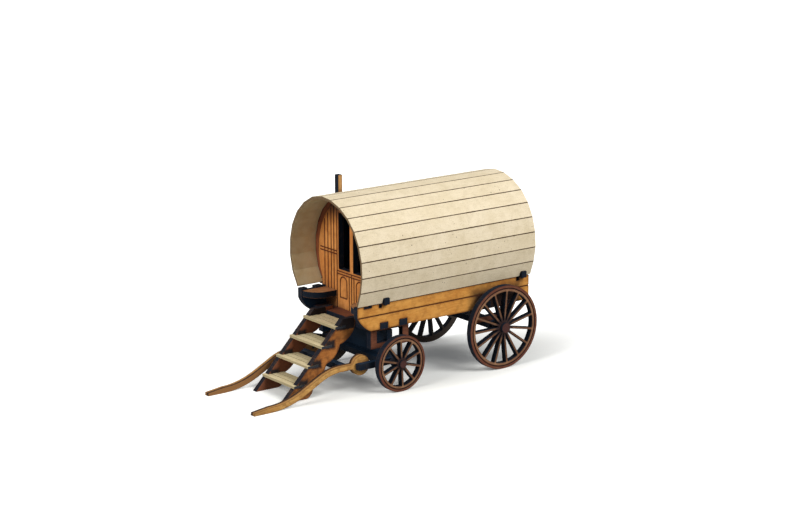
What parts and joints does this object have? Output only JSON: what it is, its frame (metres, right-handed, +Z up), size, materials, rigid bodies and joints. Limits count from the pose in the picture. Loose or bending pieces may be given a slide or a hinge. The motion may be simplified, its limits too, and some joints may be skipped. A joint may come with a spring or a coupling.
{
  "type": "bow-top living wagon model",
  "caption": "Small sheet-cut model of a bow-top living wagon: arched planked roof, porch with steps, spoked wheels that turn and a pair of shafts that lifts.",
  "frame": {"origin": "centre of the overall box on the ground under the wheels", "axes": "+Z up, the shafts and porch face -Y, +X is the wagon's left side"},
  "size_m": [0.044, 0.108, 0.0653],
  "materials": {
    "roof_card": "matt cream card with scored lines",
    "tread_card": "matt grey-cream card with engraved plank lines",
    "wall_board": "matt brown fibreboard, lines engraved dark",
    "wheel_board": "matt brown fibreboard, edges charred near black",
    "step_board": "matt brown fibreboard, edges charred near black",
    "shaft_board": "matt tan fibreboard, edges charred dark",
    "panel_board": "matt tan fibreboard, edges charred dark",
    "frame_board": "matt brown fibreboard, edges charred dark"
  },
  "bodies": {
    "wagon": {"chimney": "panel_board", "floor": "frame_board", "front_axle": "frame_board", "front_bolster": "frame_board", "front_left_axle_cap": "wheel_board", "front_left_bracket": "frame_board", "front_right_axle_cap": "wheel_board", "front_right_bracket": "frame_board", "front_wall": "wall_board", "left_porch_seat": "panel_board", "left_side_panel": "panel_board", "left_stringer": "step_board", "rear_axle": "frame_board", "rear_left_axle_cap": "wheel_board", "rear_left_bracket": "frame_board", "rear_right_axle_cap": "wheel_board", "rear_right_bracket": "frame_board", "rear_wall": "wall_board", "right_porch_seat": "panel_board", "right_side_panel": "panel_board", "right_stringer": "step_board", "roof_cover": "roof_card", "tread_1": "tread_card", "tread_2": "tread_card", "tread_3": "tread_card", "tread_4": "tread_card"},
    "shafts": {"left_shaft": "shaft_board", "right_shaft": "shaft_board", "cross_bar": "shaft_board", "left_shaft_pin": "shaft_board", "right_shaft_pin": "shaft_board"},
    "front_left_wheel": {"front_left_wheel": "wheel_board", "front_left_boss": "wheel_board"},
    "front_right_wheel": {"front_right_wheel": "wheel_board", "front_right_boss": "wheel_board"},
    "rear_left_wheel": {"rear_left_wheel": "wheel_board", "rear_left_boss": "wheel_board"},
    "rear_right_wheel": {"rear_right_wheel": "wheel_board", "rear_right_boss": "wheel_board"}
  },
  "joints": [
    {"name": "front_left_wheel_spin", "type": "hinge", "parent": "wagon", "child": "front_left_wheel", "pos_m": [0.0198, -0.0023, 0.00915], "axis": [1, 0, 0], "continuous": true},
    {"name": "front_right_wheel_spin", "type": "hinge", "parent": "wagon", "child": "front_right_wheel", "pos_m": [-0.0198, -0.0023, 0.00915], "axis": [1, 0, 0], "continuous": true},
    {"name": "rear_left_wheel_spin", "type": "hinge", "parent": "wagon", "child": "rear_left_wheel", "pos_m": [0.0198, 0.0395, 0.014], "axis": [1, 0, 0], "continuous": true},
    {"name": "rear_right_wheel_spin", "type": "hinge", "parent": "wagon", "child": "rear_right_wheel", "pos_m": [-0.0198, 0.0395, 0.014], "axis": [1, 0, 0], "continuous": true},
    {"name": "shafts_lift", "type": "hinge", "parent": "wagon", "child": "shafts", "pos_m": [0, -0.01355, 0.00915], "axis": [-1, 0, 0], "range_deg": [0, 40]}
  ]
}
